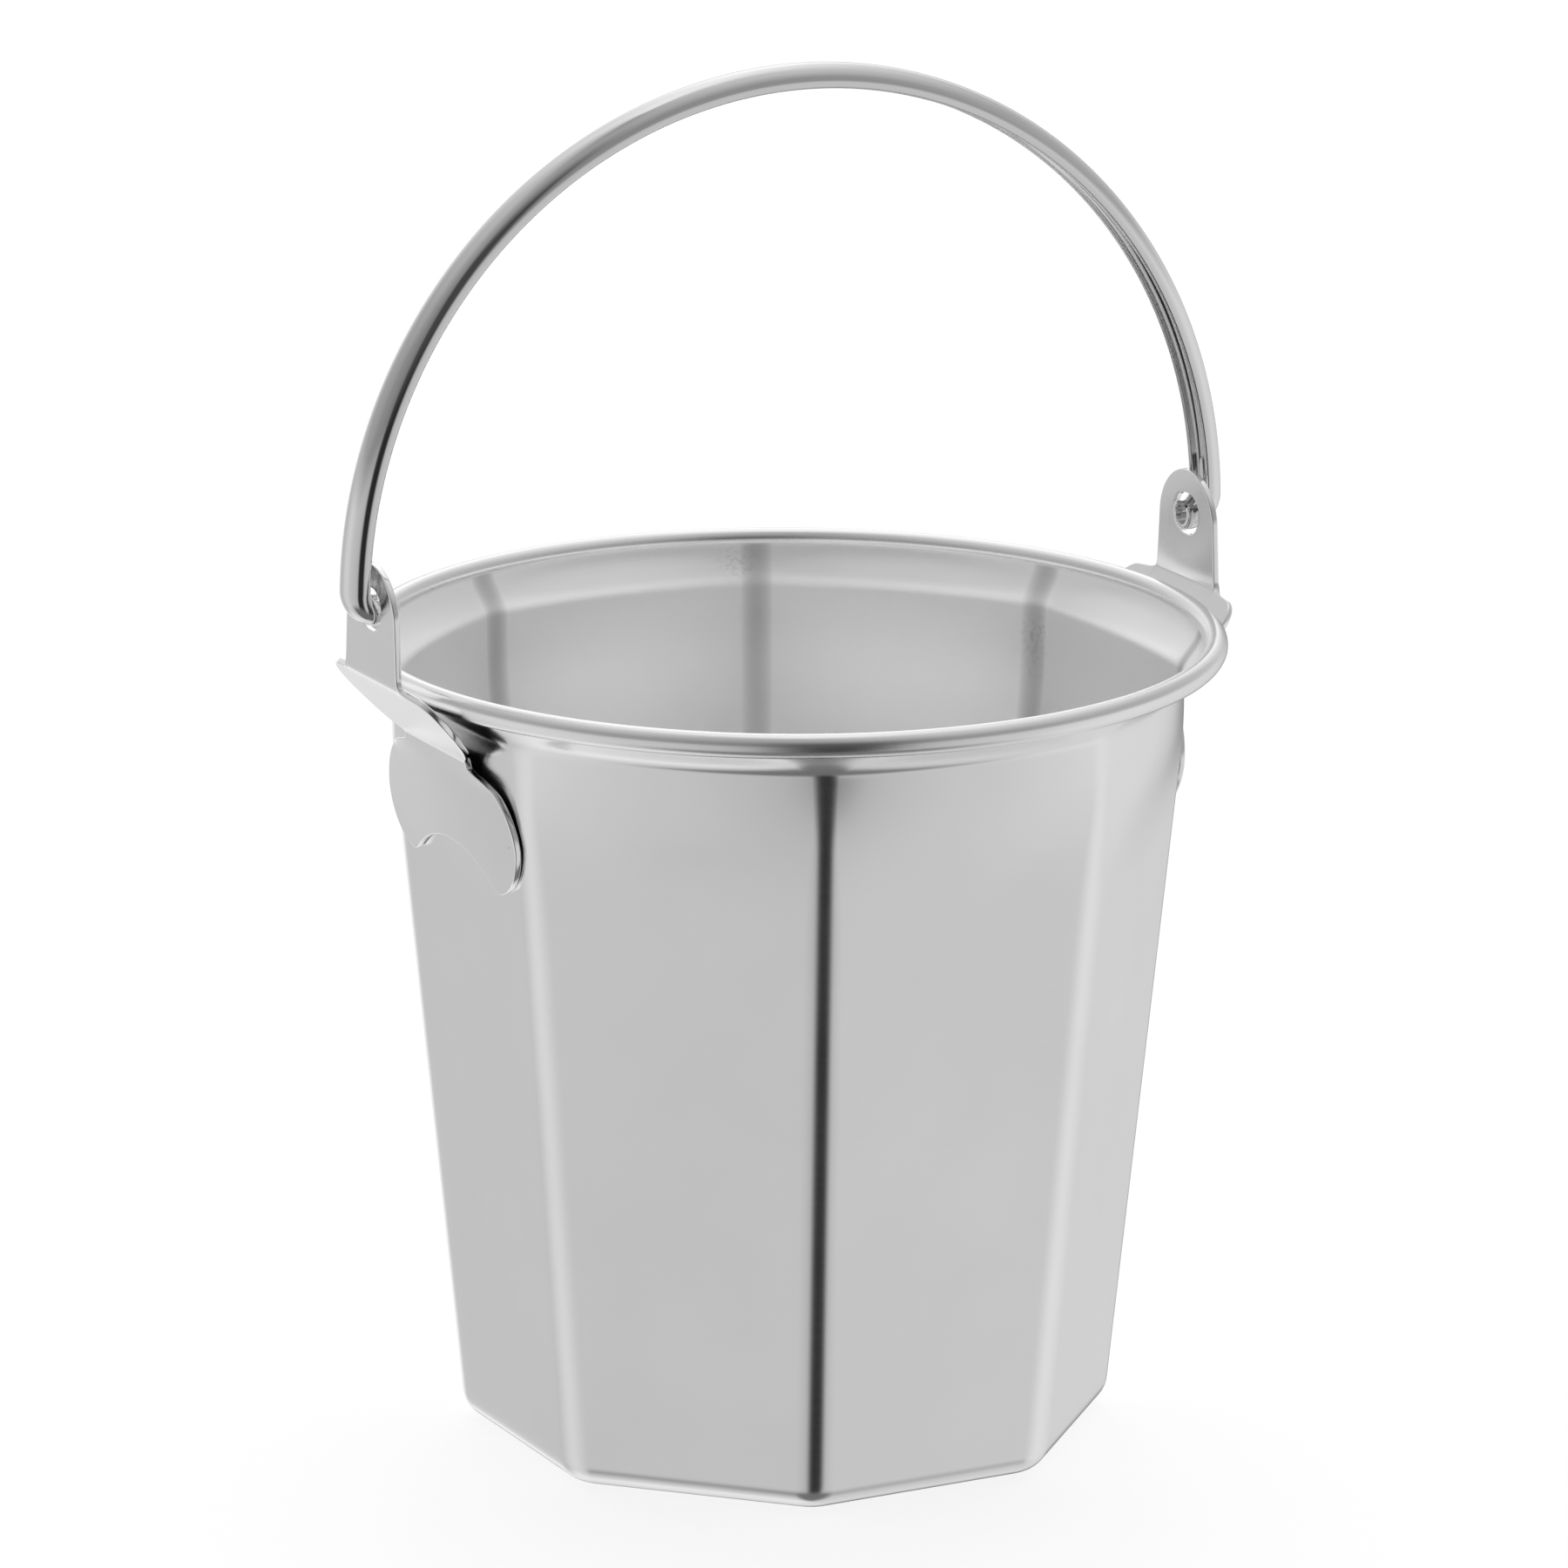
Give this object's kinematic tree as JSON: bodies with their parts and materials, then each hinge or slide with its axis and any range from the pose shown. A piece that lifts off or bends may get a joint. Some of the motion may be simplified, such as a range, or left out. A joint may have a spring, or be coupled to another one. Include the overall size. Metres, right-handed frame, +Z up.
{
  "type": "milk pail",
  "caption": "Stainless eight-sided tapering pail with a rolled round rim, two welded ears and a swinging channel-section bail.",
  "frame": {"origin": "centre of the base, on the surface the pail stands on", "axes": "+Z up; +X through the right ear, along the bail's hinge line; +Y away from the front facet"},
  "size_m": [0.288, 0.2558, 0.4073],
  "materials": {
    "body_steel": "satin-polished stainless steel with a brighter rolled rim",
    "ear_steel": "satin stainless steel with polished cut edges",
    "bail_steel": "mirror-polished stainless steel"
  },
  "bodies": {
    "pail": {"pail_body": "body_steel", "left_ear": "ear_steel", "right_ear": "ear_steel"},
    "bail": {"bail": "bail_steel"}
  },
  "joints": [
    {"name": "bail_swing", "type": "hinge", "parent": "pail", "child": "bail", "pos_m": [0, 0, 0.2607], "axis": [1, 0, 0], "range_deg": [-115, 115]}
  ]
}
